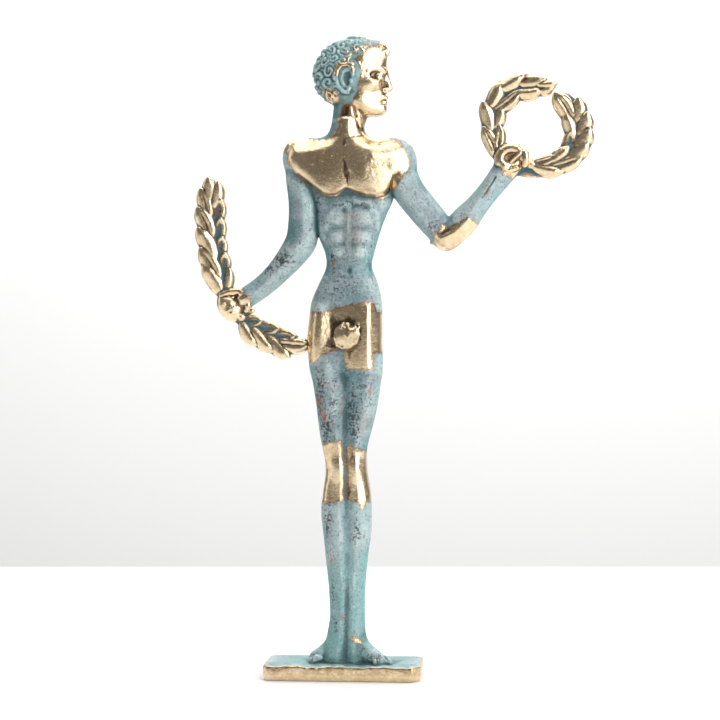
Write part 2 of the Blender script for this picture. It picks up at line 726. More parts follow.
def hair(field):
    """Short curls: small snail-like locks packed over the skull."""
    cuts = field.window((-13.0, 193.0, -9.5), (18.0, 219.5, 9.5))
    x, y, z = field.space(cuts)
    value = field.value[cuts]
    near = np.abs(value) < 1.4
    i, k, j = np.nonzero(near)
    spots = np.stack([x[i, 0, 0], y[0, 0, j], z[0, k, 0]], 1)
    count = 120
    centre, size = np.array([2.4, 0.0, 204.8]), np.array([12.4, 6.7, 11.9])
    order = np.arange(count) + 0.5
    level = 1 - 2 * order / count
    turn = math.pi * (1 + math.sqrt(5)) * order
    flat = np.sqrt(1 - level**2)
    seeds = centre + size * np.stack([flat * np.cos(turn), flat * np.sin(turn), level], 1)
    rng = np.random.default_rng(SEED)
    seeds = seeds + rng.normal(0, 0.55, seeds.shape)
    phases = rng.uniform(0, 2 * math.pi, count)
    ways = rng.choice([-1.0, 1.0], count)
    relief = np.empty(len(spots))
    sway = np.stack([noise(spots, 3.0, 21), noise(spots, 3.0, 22), noise(spots, 3.0, 23)], 1)
    moved = spots + 0.7 * sway
    for start in range(0, len(spots), 20000):
        part = moved[start : start + 20000]
        gap = ((part[:, None, :] - seeds) ** 2).sum(2)
        at = gap.argmin(1)
        first = np.sqrt(gap[np.arange(len(part)), at])
        gap[np.arange(len(part)), at] = 1e9
        second = np.sqrt(gap.min(1))
        away = part - seeds[at]
        normal = (seeds[at] - centre) / size**2
        normal /= np.linalg.norm(normal, axis=1)[:, None]
        away -= (away * normal).sum(1)[:, None] * normal
        far = np.linalg.norm(away, axis=1)
        angle = np.arctan2(away[:, 2], away[:, 0] + 0.6 * away[:, 1])
        curl = 0.5 + 0.5 * np.cos(2 * math.pi * far / 1.7 - ways[at] * angle + phases[at])
        border = smoothstep((second - first) / 0.8)
        relief[start : start + 20000] = (0.45 + 0.55 * border) * (0.2 + 0.55 * curl) - 0.1
    edge = inside(HAIR_EDGE, spots[:, 0], spots[:, 2])
    clear = smoothstep((np.hypot(spots[:, 0] - 0.8, (spots[:, 2] - 202.4) * 0.62) - 3.2) / 0.8)
    amount = smoothstep(edge / 1.2) * clear
    value[i, k, j] -= (amount * relief).astype(np.float32)
    field.value[cuts] = value


# Laurel


def leaf(field, base, tip, width, tall=1.0, vein="roof", soft=0.1):
    """A full leaf in the standing plane: lowest at its base, two planes meeting on its midrib."""
    base, tip = np.array(base, float), np.array(tip, float)
    middle, along = (base + tip) / 2, tip - base
    length = np.linalg.norm(along) + 1.0
    along = along / np.linalg.norm(along)
    reach = length / 2 + 1.2
    cuts = field.window((*(middle - reach), -4.6), (*(middle + reach), 4.6))
    x, z = field.plane(cuts)
    a = (x - middle[0]) * along[0] + (z - middle[1]) * along[1]
    b = (z - middle[1]) * along[0] - (x - middle[0]) * along[1]
    b = b + 0.3 * np.cos(4.0 * a / length) - 0.15
    share = a / (length / 2)
    ahead, behind = np.clip(share, 0, 1.6), np.clip(-share, 0, 1.6)
    half = np.maximum(width / 2 * (1 - 0.86 * ahead**2.8 - 0.5 * behind**2.6), 0.3)
    past = np.maximum(np.maximum(share - 0.93, -share - 1.0), 0) * length / 2
    across = np.hypot(b, past * half / 0.5) / half
    height = LEAF_DEPTH * tall * (0.84 + 0.16 * np.clip(share, -1, 1))
    fade = smoothstep((0.95 - share) / 0.5) * smoothstep((1.2 + share) / 0.6)
    rib = np.sqrt((b / half) ** 2 + 0.01)
    if vein == "roof":
        height = height + 0.75 * (1 - rib) * fade
    elif vein == "valley":
        height = height + 0.45 - 0.75 * (1 - rib) * fade
    elif vein == "twin":
        height = height + 0.5 * np.sin(math.pi * np.clip(rib, 0, 1)) * fade
    else:
        height = height + 0.45 * (1 - (b / half) ** 2) * fade
    back = LEAF_DEPTH * tall * (0.9 + 0.14 * np.clip(share, -1, 1)) - 0.25 * np.exp(-((b / 0.34) ** 2))
    shape = pillow(across, half, np.maximum(height, 0.5), back, field.depth(cuts), 2.5)
    field.join(cuts, shape, soft)


def web(field, rows, first, last, half, deep=1.15):
    part = rows[int(first * len(rows)) : max(int(last * len(rows)), 2)]
    knots = part[:: max(len(part) // 10, 1)]
    limb(field, [(a, b, half, deep) for a, b in knots[:, :2]], 0.3, 2.2)


def beside(rows, share, offset):
    """A point beside a dense curve: `share` along it and `offset` to its left."""
    at = int(np.clip(share, 0, 1) * (len(rows) - 1))
    other = min(max(at, 1), len(rows) - 2)
    along = rows[other + 1, :2] - rows[other - 1, :2]
    along = along / np.linalg.norm(along)
    return rows[at, :2] + offset * np.array([-along[1], along[0]])


def arc(start, end, from_scale, to_scale):
    share = np.linspace(0, 1, 17)
    angle = np.radians(start + (end - start) * share)
    scale = from_scale + (to_scale - from_scale) * share
    x = WREATH["x"] + scale * WREATH["radius_x"] * np.cos(angle)
    z = WREATH["z"] + scale * WREATH["radius_z"] * np.sin(angle)
    return spline(np.stack([x, z], 1))


# A leaf is (base x, base z, tip x, tip z, width, height, vein).
WREATH_LEAVES = [
    (51.9, 176.6, 47.5, 186.0, 5.4, 0.86, "twin"),
    (52.0, 178.2, 53.0, 186.2, 4.6, 0.84, "twin"),
    (50.2, 184.6, 47.4, 194.4, 6.0, 0.92, "roof"),
    (51.0, 185.2, 53.7, 192.2, 4.8, 0.86, "plain"),
    (49.6, 192.4, 53.2, 200.4, 6.0, 0.96, "roof"),
    (51.2, 191.0, 59.8, 198.0, 5.4, 0.9, "twin"),
    (51.6, 198.0, 60.8, 203.0, 6.0, 1.0, "roof"),
    (58.0, 197.0, 66.8, 197.9, 5.4, 0.93, "roof"),
    (58.6, 200.8, 67.8, 201.7, 5.8, 1.04, "plain"),
    (64.6, 198.2, 70.6, 198.7, 4.2, 0.98, "plain"),
    (64.8, 200.0, 71.8, 200.4, 4.6, 1.08, "roof"),
    (63.4, 172.6, 73.6, 170.4, 5.2, 0.84, "roof"),
    (64.0, 173.4, 71.2, 175.6, 4.6, 0.82, "twin"),
    (70.0, 171.8, 80.2, 175.4, 5.9, 0.9, "twin"),
    (69.8, 173.8, 75.8, 178.8, 5.0, 0.88, "roof"),
    (75.6, 174.6, 82.6, 180.4, 6.2, 0.94, "plain"),
    (74.8, 176.8, 77.0, 184.0, 5.1, 0.9, "valley"),
    (78.6, 178.4, 83.2, 185.0, 6.6, 1.0, "plain"),
    (77.8, 182.0, 74.9, 190.0, 5.3, 0.95, "roof"),
    (79.4, 182.6, 82.4, 190.4, 6.4, 1.02, "plain"),
    (79.2, 187.6, 79.3, 195.4, 5.8, 1.04, "plain"),
    (77.4, 188.2, 71.5, 197.2, 6.8, 1.1, "twin"),
]
UPPER_LEAVES = [
    (-40.8, 129.6, -38.8, 138.2, 4.0, 0.72, "plain"),
    (-41.6, 130.4, -47.8, 139.8, 6.4, 0.86, "roof"),
    (-42.0, 135.6, -40.4, 143.6, 4.8, 0.76, "valley"),
    (-42.8, 135.2, -48.9, 145.6, 6.8, 0.94, "twin"),
    (-43.6, 141.2, -41.4, 149.2, 5.0, 0.78, "valley"),
    (-44.2, 142.2, -49.6, 152.6, 6.8, 0.98, "roof"),
    (-44.1, 146.6, -41.8, 155.6, 5.1, 0.8, "valley"),
    (-45.2, 149.6, -49.8, 159.4, 6.8, 1.0, "twin"),
    (-44.8, 152.6, -41.7, 162.0, 5.2, 0.84, "valley"),
    (-46.2, 156.0, -48.7, 165.8, 6.2, 1.02, "twin"),
    (-44.6, 159.2, -42.7, 168.0, 5.2, 0.98, "plain"),
    (-46.2, 161.2, -46.1, 169.4, 5.6, 1.12, "plain"),
]
LOWER_LEAVES = [
    (-35.2, 120.8, -28.2, 120.4, 4.6, 0.8, "valley"),
    (-35.0, 119.8, -30.4, 112.4, 5.4, 0.88, "roof"),
    (-32.0, 118.6, -22.4, 117.8, 5.4, 0.86, "valley"),
    (-31.4, 117.8, -24.4, 110.2, 6.0, 0.96, "roof"),
    (-27.0, 115.8, -16.8, 115.4, 5.6, 0.92, "valley"),
    (-26.4, 115.2, -19.1, 108.2, 6.0, 1.0, "plain"),
    (-21.6, 112.9, -12.3, 112.3, 6.4, 1.06, "twin"),
]


def wreath(field):
    web(field, arc(226, 67, 1, 1.03), 0.02, 0.94, 2.5)
    web(field, arc(252, 413, 1.02, 0.94), 0.0, 0.95, 2.5)
    for x0, z0, x1, z1, width, tall, vein in WREATH_LEAVES:
        leaf(field, (x0, z0), (x1, z1), width, tall, vein)
    ball(field, (63.2, -0.6, 173.2), (1.9, 1.7, 1.5), 0.5)


def sprays(field):
    web(field, spline(UPPER_STEM), 0.0, 0.93, 2.4)
    web(field, spline(LOWER_STEM), 0.0, 1.0, 2.3)
    for x0, z0, x1, z1, width, tall, vein in UPPER_LEAVES + LOWER_LEAVES:
        leaf(field, (x0, z0), (x1, z1), width, tall, vein)


# Hands and feet


def left_hand(field):
    """The fist that holds the spray: four fingers round the stem, the thumb over the top."""
    ball(field, (-39.2, -0.2, 125.4), (5.7, 3.8, 3.8), 0.7, -0.95)
    ball(field, (-34.8, 0.2, 126.4), (3.0, 2.6, 3.3), 0.8)
    tube(field, [(-41.6, -1.8, 129.6), (-38.6, -2.5, 130.6), (-35.4, -2.6, 130.8)], (1.2, 1.1), 0.4)
    ball(field, (-34.8, -2.9, 130.0), (1.2, 1.0, 1.1), 0.3)
    tube(field, [(-32.9, -2.2, 127.2), (-32.6, -2.6, 125.8), (-33.1, -2.3, 124.4)], (1.1, 1.05), 0.4)
    fingers = [(-40.6, 126.2), (-39.9, 124.0), (-38.3, 123.2), (-36.7, 121.8)]
    ends = [(-37.1, 128.5), (-37.0, 125.6), (-35.9, 124.9), (-34.3, 123.4)]
    for (x0, z0), (x1, z1) in zip(fingers, ends):
        tube(field, on_skin(field, [(x0, z0), (x1, z1)], -1, -0.05), (0.55, 0.5), 0.15)
    for number in range(4):
        x, z = -41.0 + 1.6 * number, 126.2 - 1.6 * number
        tube(field, [(x + 0.6, 1.8, z), (x + 2.4, 3.2, z + 1.6), (x + 4.2, 3.0, z + 2.8)], (1.2, 1.1), 0.25)
    ball(field, (-35.0, 0.2, 121.9), (1.9, 2.6, 1.7), 0.5)
NAPE = [(-6.2, 198.4), (-4.4, 198.8), (-2.2, 197.6), (-1.0, 196.2), (-1.6, 194.2), (-4.0, 194.2), (-5.6, 196.0)]
TEMPLE = [(-0.4, 207.4), (1.6, 211.6), (6.0, 213.4), (10.0, 214.6), (9.0, 211.4), (5.6, 209.6), (5.4, 206.6), (3.0, 206.8)]
HELIX = [(-2.2, 203.6), (-1.6, 205.4), (-0.4, 206.8), (1.8, 207.0), (3.2, 205.9)]


def right_hand(field):
    """The hand that holds the wreath: thumb and first finger close in a ring round it."""
    cx, cz = 56.7, 175.3
    ball(field, (cx - 0.4, 0.0, cz - 0.2), (5.5, 3.4, 4.7), 0.9, 0.4)
    ball(field, (cx, -4.4, cz + 0.2), (2.6, 1.7, 2.3), 0.5, cut=True)
    ring = []
    for step in range(9):
        angle = math.radians(232 - 29 * step)
        ring.append((cx + 3.9 * math.cos(angle), -2.3, cz + 3.4 * math.sin(angle)))
    tube(field, ring, (2.1, 1.6), 0.3)
    tube(field, [(61.2, -2.8, 177.0), (61.5, -3.2, 175.2), (61.2, -2.8, 173.2)], (1.25, 1.2), 0.25)
    tube(field, [(53.4, -2.6, 171.9), (56.0, -3.0, 171.3), (58.6, -2.8, 172.0)], (0.9, 0.8), 0.2)
    tube(field, [(55.2, -2.6, 172.8), (57.2, -3.3, 174.8), (59.4, -3.4, 176.8)], (0.75, 0.8), 0.2)
    for step in range(4):
        angle = math.radians(150 - 42 * step)
        x, z = cx + 2.9 * math.cos(angle), cz + 2.6 * math.sin(angle)
        out = (cx + 5.2 * math.cos(angle), 1.4, cz + 4.6 * math.sin(angle))
        tube(field, [(x, 3.1, z), out], (1.35, 1.3), 0.2)


def foot(field, heel, turn, length, inside_side):
    floor = PLATE["thickness"]
    ahead = np.array([math.cos(turn), math.sin(turn)])
    aside = np.array([-math.sin(turn), math.cos(turn)])

    def at(share, off, height):
        spot = np.array(heel) + ahead * share * length + aside * off
        return (spot[0], spot[1], floor + height)

    tube(field, [at(-0.05, 0, 1.6), at(0.3, 0, 2.4), at(0.62, 0, 1.7), at(0.78, 0, 1.3)], (3.2, 2.5), 1.3)
    tube(field, [at(0.0, 0, 7.4), at(0.25, 0, 5.2), at(0.62, 0, 2.6)], (3.2, 2.1), 1.4)
    for number in range(5):
        off = inside_side * (2.6 - 1.3 * number)
        size = 1.2 if number == 0 else 0.88 - 0.05 * number
        reach = 0.98 - 0.035 * number
        tube(field, [at(0.62, off * 0.75, 1.4), at(0.84, off, 1.5), at(reach, off, 0.75)], (size, size), 0.1)


def feet(field):
    foot(field, (-1.4, 1.4), math.radians(197), 10.6, 1)
    foot(field, (3.9, 0.4), math.radians(-36), 12.8, 1)


def plate(field):
    """A flat slab with rounded corners, one bevelled corner and an uneven rubbed edge."""
    half_x, half_y = PLATE["width"] / 2, PLATE["depth"] / 2
    corner, edge, thick = PLATE["corner"], PLATE["edge"], PLATE["thickness"]
    cuts = field.window((-half_x - 2, -2, -half_y - 2), (half_x + 2, thick + 2, half_y + 2))
    x, y, z = field.space(cuts)
    wave = 0.16 * np.sin(0.42 * x + 2.4) + 0.08 * np.sin(1.3 * x + 0.4 * y)
    dx = np.abs(x) - (half_x - corner)
    dy = np.abs(y) - (half_y - corner)
    plan = np.hypot(np.maximum(dx, 0), np.maximum(dy, 0)) + np.minimum(np.maximum(dx, dy), 0) - corner
    cut = (x * 0.8 - y * 0.6) - (half_x * 0.8 + half_y * 0.6 - PLATE["chamfer"] * 0.6)
    plan = np.maximum(plan, cut) + 0.5 * np.clip(1 - z / 2.4, 0, 1) ** 1.5
    top = z - thick - wave * smoothstep((-y - 4) / 6)
    rise = np.maximum(top, -z) + edge
    side = plan + edge
    shape = np.hypot(np.maximum(rise, 0), np.maximum(side, 0)) + np.minimum(np.maximum(rise, side), 0) - edge
    field.join(cuts, shape, 0.7)


# From the field to a mesh


def skin_of(field):
    """Surface nets: one vertex in each cell that the surface crosses, quads between them."""
    value = field.value
    solid = value < 0
    count = np.array(value.shape) - 1
    corners = [(i, j, k) for i in (0, 1) for j in (0, 1) for k in (0, 1)]
    some = np.zeros(count, bool)
    every = np.ones(count, bool)
    for i, j, k in corners:
        part = solid[i : i + count[0], j : j + count[1], k : k + count[2]]
        some |= part
        every &= part
    cells = np.argwhere(some & ~every)
    number = np.full(count, -1, np.int32)
    number[tuple(cells.T)] = np.arange(len(cells))
    held = {c: value[tuple((cells + c).T)] for c in corners}
    total = np.zeros((len(cells), 3))
    hits = np.zeros(len(cells))
    for c in corners:
        for axis in range(3):
            if c[axis]:
                continue
            d = tuple(1 if n == axis else c[n] for n in range(3))
            crossing = (held[c] < 0) != (held[d] < 0)
            gap = np.where(crossing, held[c] - held[d], 1)
            share = np.clip(held[c] / gap, 0, 1)
            spot = np.broadcast_to(np.array(c, float), total.shape).copy()
            spot[:, axis] = share
            total[crossing] += spot[crossing]
            hits += crossing
    spots = cells + total / hits[:, None]
    quads = []
    for axis in range(3):
        u, v = [(1, 2), (2, 0), (0, 1)][axis]
        ahead = [slice(None)] * 3
        behind = [slice(None)] * 3
        ahead[axis], behind[axis] = slice(1, None), slice(0, -1)
        change = solid[tuple(behind)].astype(np.int8) - solid[tuple(ahead)].astype(np.int8)
        edges = np.argwhere(change != 0)
        way = change[tuple(edges.T)]
        steps = []
        for du, dv in [(0, 0), (-1, 0), (-1, -1), (0, -1)]:
            cell = edges.copy()
            cell[:, u] += du
            cell[:, v] += dv
            steps.append(number[tuple(cell.T)])
        ring = np.stack(steps, 1)
        ring[way < 0] = ring[way < 0][:, ::-1]
        quads.append(ring)
    low = np.array([axis[0] for axis in field.axes])
    spots = low + spots * STEP
    return spots[:, [0, 2, 1]], np.vstack(quads)[:, ::-1]


def whole(spots, faces):
    """Only the largest connected piece of the skin."""
    label = np.arange(len(spots))
    pairs = np.vstack([faces[:, [n, (n + 1) % faces.shape[1]]] for n in range(faces.shape[1])])
    while True:
        low = np.minimum(label[pairs[:, 0]], label[pairs[:, 1]])
        fresh = label.copy()
        np.minimum.at(fresh, pairs[:, 0], low)
        np.minimum.at(fresh, pairs[:, 1], low)
        fresh = fresh[fresh]
        if (fresh == label).all():
            break
        label = fresh
    kept = label == np.bincount(label).argmax()
    number = np.cumsum(kept) - 1
    return spots[kept], number[faces[kept[faces].all(1)]]


def mesh_of(name, spots, faces):
    mesh = bpy.data.meshes.new(name)
    mesh.vertices.add(len(spots))
    mesh.vertices.foreach_set("co", spots.astype(np.float32).ravel())
    mesh.loops.add(faces.size)
    mesh.loops.foreach_set("vertex_index", faces.astype(np.int32).ravel())
    mesh.polygons.add(len(faces))
    mesh.polygons.foreach_set("loop_start", np.arange(0, faces.size, faces.shape[1], dtype=np.int32))
    mesh.update(calc_edges=True)
    mesh.validate()
    return mesh


def thinned(mesh, faces):
    """The mesh with fewer faces where it is flat."""
    held = bpy.data.objects.new("held", mesh)
    bpy.context.scene.collection.objects.link(held)
    triangles = sum(len(p.vertices) - 2 for p in mesh.polygons)
    fewer = held.modifiers.new("fewer", "DECIMATE")
    fewer.ratio = faces / triangles
    fewer.use_collapse_triangulate = True
    bpy.context.view_layer.update()
    done = bpy.data.meshes.new_from_object(held.evaluated_get(bpy.context.evaluated_depsgraph_get()))
    bpy.data.objects.remove(held)
    return done


def arrays_of(mesh):
    spots = np.empty(len(mesh.vertices) * 3, np.float32)
    mesh.vertices.foreach_get("co", spots)
    normals = np.empty(len(mesh.vertices) * 3, np.float32)
    mesh.vertices.foreach_get("normal", normals)
    edges = np.empty(len(mesh.edges) * 2, np.int32)
    mesh.edges.foreach_get("vertices", edges)
    return spots.reshape(-1, 3).astype(float), normals.reshape(-1, 3).astype(float), edges.reshape(-1, 2)


def averaged(values, edges, rounds):
    """Values passed to and fro along the edges."""
    count = np.bincount(edges.ravel(), minlength=len(values)).astype(float)
    flat = values.reshape(len(values), -1)
    for _ in range(rounds):
        total = np.stack(
            [
                np.bincount(edges[:, 0], column[edges[:, 1]], len(flat))
                + np.bincount(edges[:, 1], column[edges[:, 0]], len(flat))
                for column in flat.T
            ],
            1,
        )
        flat = (flat + total) / (count + 1)[:, None]
    return flat.reshape(values.shape)


def noise(spots, size, seed):
    """Smooth lattice noise from -1 to 1, one value for each point."""
    side = 48
    lattice = np.random.default_rng(seed).uniform(-1, 1, (side, side, side))
    place = spots / size + 500.0
    cell = np.floor(place).astype(int)
    part = place - cell
    part = part * part * (3 - 2 * part)
    total = np.zeros(len(spots))
    for i in (0, 1):
        for j in (0, 1):
            for k in (0, 1):
                weight = np.ones(len(spots))
                for axis, bit in enumerate((i, j, k)):
                    weight = weight * (part[:, axis] if bit else 1 - part[:, axis])
                index = (cell + (i, j, k)) % side
                total += weight * lattice[tuple(index.T)]
    return total


# Where the metal is rubbed bright, as outlines in the standing plane

FACE = [
    (5.8, 189.0),
    (4.4, 191.4),
    (3.6, 194.0),
    (4.6, 198.0),
    (5.6, 201.4),
    (6.6, 204.4),
    (6.0, 207.0),
    (3.6, 208.3),
    (3.4, 209.3),
    (6.6, 210.3),
    (8.4, 210.8),
    (9.4, 213.0),
    (12.6, 214.2),
    (14.0, 215.0),
    (20.0, 214.0),
    (20.0, 188.0),
]
CHEST = [
    (-0.2, 194.4),
    (-1.0, 190.0),
    (-1.4, 186.0),
    (-4.6, 182.6),
    (-8.0, 181.6),
    (-14.8, 183.0),
    (-20.0, 180.0),
    (-18.2, 176.2),
    (-17.0, 172.4),
    (-15.4, 169.4),
    (-12.4, 166.6),
    (-9.2, 164.5),
    (-6.8, 162.6),
    (-4.4, 161.9),
    (-1.8, 162.2),
    (0.2, 164.2),
    (1.4, 165.6),
    (3.0, 164.0),
    (5.1, 162.9),
    (8.0, 162.1),
    (11.4, 161.7),
    (14.7, 162.4),
    (16.5, 164.4),
    (17.9, 166.8),
    (20.6, 170.4),
    (22.0, 171.6),
    (22.0, 174.4),
    (20.4, 178.6),
    (18.4, 180.6),
    (13.4, 182.4),
    (9.0, 183.6),
    (7.4, 188.4),
    (5.4, 189.6),
    (4.6, 193.6),
]
ELBOW = [
    (30.6, 148.6),
    (32.6, 144.0),
    (41.5, 147.4),
    (46.0, 153.0),
    (41.8, 155.0),
    (38.4, 152.8),
    (35.6, 152.0),
    (32.6, 152.2),
]
LOINS = [
    (-14.0, 123.2),
    (-6.2, 123.0),
    (-4.6, 124.4),
    (-0.4, 125.2),
    (4.3, 126.5),
    (8.6, 126.7),
    (10.4, 126.0),
    (11.0, 123.4),
    (15.0, 122.8),
    (15.0, 112.0),
    (12.4, 110.0),
    (10.0, 109.4),
    (9.8, 104.6),
    (1.0, 104.4),
    (0.7, 110.6),
    (-1.4, 111.0),
    (-3.6, 109.8),
    (-6.4, 109.2),
    (-9.8, 108.4),
    (-10.8, 112.5),
    (-14.0, 117.4),
]
LEFT_KNEE = [(-8.0, 77.8), (-4.2, 79.6), (0.2, 80.0), (0.6, 60.0), (-4.0, 59.0), (-9.0, 60.2)]
RIGHT_KNEE = [
    (0.9, 79.2),
    (2.8, 79.4),
    (3.4, 77.4),
    (7.2, 76.6),
    (8.8, 78.0),
    (10.6, 77.0),
    (10.0, 59.8),
    (7.0, 59.4),
    (6.5, 57.2),
    (5.8, 59.4),
    (1.0, 60.2),
]
ANKLE = [(1.6, 13.4), (4.2, 14.0), (6.6, 11.8), (7.0, 10.2), (4.2, 11.6)]
BACK_SHOULDERS = [
    (-16.4, 181.0),
    (-17.2, 174.0),
    (-14.0, 165.4),
    (-7.0, 162.6),
    (0.8, 166.4),
    (2.4, 166.4),
    (10.0, 162.6),
    (17.4, 165.6),
    (21.0, 174.0),
    (19.0, 180.4),
]
BACK_SEAT = [(-14.0, 121.0), (-6.0, 123.2), (1.6, 120.4), (8.0, 123.2), (15.0, 121.0), (15.0, 109.5), (7.0, 105.6), (1.0, 109.0), (-5.4, 105.6), (-14.0, 109.5)]

# Dark and coppery stains, each (x, z, half width, half height).
DARK_STAINS = [
    (-3.4, 141.8, 0.9, 2.4, 1.0),
    (-3.0, 137.6, 0.8, 1.2, 1.0),
    (-20.6, 141.8, 3.6, 3.0, 0.9),
    (-25.6, 138.2, 3.4, 2.6, 0.5),
    (-7.6, 95.0, 2.4, 9.0, 0.75),
    (-5.6, 84.0, 2.6, 6.5, 0.8),
    (-3.0, 92.0, 3.0, 10.0, 0.3),
    (3.4, 90.0, 2.6, 10.0, 0.75),
    (7.0, 96.0, 3.2, 8.0, 0.35),
    (4.6, 83.0, 1.6, 4.0, 0.7),
    (-5.0, 53.0, 1.8, 6.0, 0.8),
    (4.4, 50.0, 1.5, 6.0, 0.5),
    (-3.6, 29.0, 1.1, 5.0, 0.7),
    (-2.4, 18.0, 1.1, 3.6, 0.7),
    (1.2, 160.0, 7.0, 1.0, 0.6),
    (-8.6, 161.0, 0.8, 14.0, 0.4),
    (31.0, 152.0, 2.6, 3.0, 0.5),
    (1.0, 131.0, 9.0, 5.0, 0.3),
    (12.0, 7.0, 4.6, 2.4, 1.0),
    (-10.0, 7.0, 2.4, 2.2, 0.7),
    (1.0, 20.0, 0.8, 14.0, 0.4),
]
COPPER_STAINS = [
    (-3.2, 139.6, 0.8, 1.2, 1.0),
    (-7.8, 93.2, 1.0, 1.5, 1.0),
    (-6.8, 88.8, 1.6, 1.1, 1.0),
    (9.2, 96.6, 0.6, 1.9, 1.0),
    (48.6, 165.0, 0.6, 3.0, 1.0),
    (-4.0, 40.0, 0.7, 2.4, 0.8),
    (-0.2, 20.6, 0.6, 0.6, 1.0),
    (2.4, 20.2, 0.6, 0.6, 1.0),
    (-17.0, 145.8, 0.9, 0.6, 1.0),
    (-0.4, 92.0, 0.25, 8.0, 0.9),
    (3.0, 152.0, 5.0, 9.0, 0.25),
    (-10.4, 172.0, 0.5, 3.0, 0.9),
    (7.0, 86.0, 2.0, 5.0, 0.25),
]
BROWN_PLACES = [
    (-6.0, 173.0, 9.0, 12.0, 0.35),
    (2.2, 164.0, 24.0, 1.3, 0.8),
    (-2.4, 188.0, 3.0, 9.0, 0.7),
    (5.2, 194.0, 2.2, 6.0, 0.6),
    (4.2, 115.0, 5.0, 12.0, 0.45),
    (-10.4, 116.0, 2.4, 9.0, 0.4),
    (-6.0, 70.0, 1.3, 12.0, 0.6),
    (2.2, 70.0, 1.2, 12.0, 0.6),
    (8.6, 69.0, 0.9, 12.0, 0.6),
    (36.0, 147.0, 8.0, 2.2, 0.3),
]


PALE_PLACES = [
    (2.0, 28.0, 14.0, 24.0, 0.8),
    (2.0, 50.0, 14.0, 14.0, 0.4),
    (2.0, 8.0, 26.0, 9.0, 0.8),
    (-1.0, 208.0, 16.0, 16.0, 0.75),
    (-12.2, 166.0, 2.6, 14.0, 0.6),
    (47.0, 163.0, 7.0, 10.0, 0.6),
    (24.0, 166.0, 3.0, 8.0, 0.3),
    (6.5, 140.0, 3.4, 12.0, 0.3),
    (-32.0, 129.0, 7.0, 6.0, 0.5),
    (2.0, 155.0, 7.0, 9.0, 0.2),
    (-12.0, 126.0, 2.0, 30.0, 0.35),
    (12.4, 112.0, 1.6, 30.0, 0.5),
]


def pale_of(x, z):
    total = np.zeros(len(x))
    for cx, cz, half_x, half_z, amount in PALE_PLACES:
        reach = np.hypot((x - cx) / half_x, (z - cz) / half_z)
        total = np.maximum(total, amount * (1 - smoothstep((reach - 0.5) / 0.7)))
    return total


def spread_of(stains, x, z):
    total = np.zeros(len(x))
    for cx, cz, half_x, half_z, amount in stains:
        reach = np.hypot((x - cx) / half_x, (z - cz) / half_z)
        total = np.maximum(total, amount * (1 - smoothstep((reach - 0.3) / 1.0)))
    return total


def laurel_zone(x, z):
    """How far a place is inside the wreath, the sprays or the rubbed part of a hand."""
    ring = np.hypot((x - WREATH["x"]) / WREATH["radius_x"], (z - WREATH["z"]) / WREATH["radius_z"])
    wreath_part = np.minimum((0.55 - np.abs(ring - 1)) * 14, (x - 46.0) * 1.0)
    hand_part = 5.6 - np.hypot(x - 57.2, (z - 175.8) * 1.05)
    past_wrist = (x - 53.2) * 0.6 + (z - 171.4) * 0.8
    fist_part = 6.6 - np.hypot(x + 38.4, (z - 125.4) * 1.05)
    palm = 1.25 - np.hypot((x + 35.1) / 2.1, (z - 126.6) / 2.3)
    fist_part = np.minimum(fist_part, -2.5 * palm)
    knobs = np.maximum(
        1.5 - np.hypot(x + 32.7, (z - 125.8) / 1.6),
        1.5 - np.hypot(x + 34.9, z - 130.3),
    )
    fist_part = np.maximum(fist_part, knobs)
    upper_part = 5.6 - near_line(UPPER_STEM, x, z)
    lower_part = 5.2 - near_line(LOWER_STEM, x, z)
    zone = np.minimum(np.maximum(wreath_part, hand_part), past_wrist)
    return np.maximum(np.maximum(zone, fist_part), np.maximum(upper_part, lower_part))


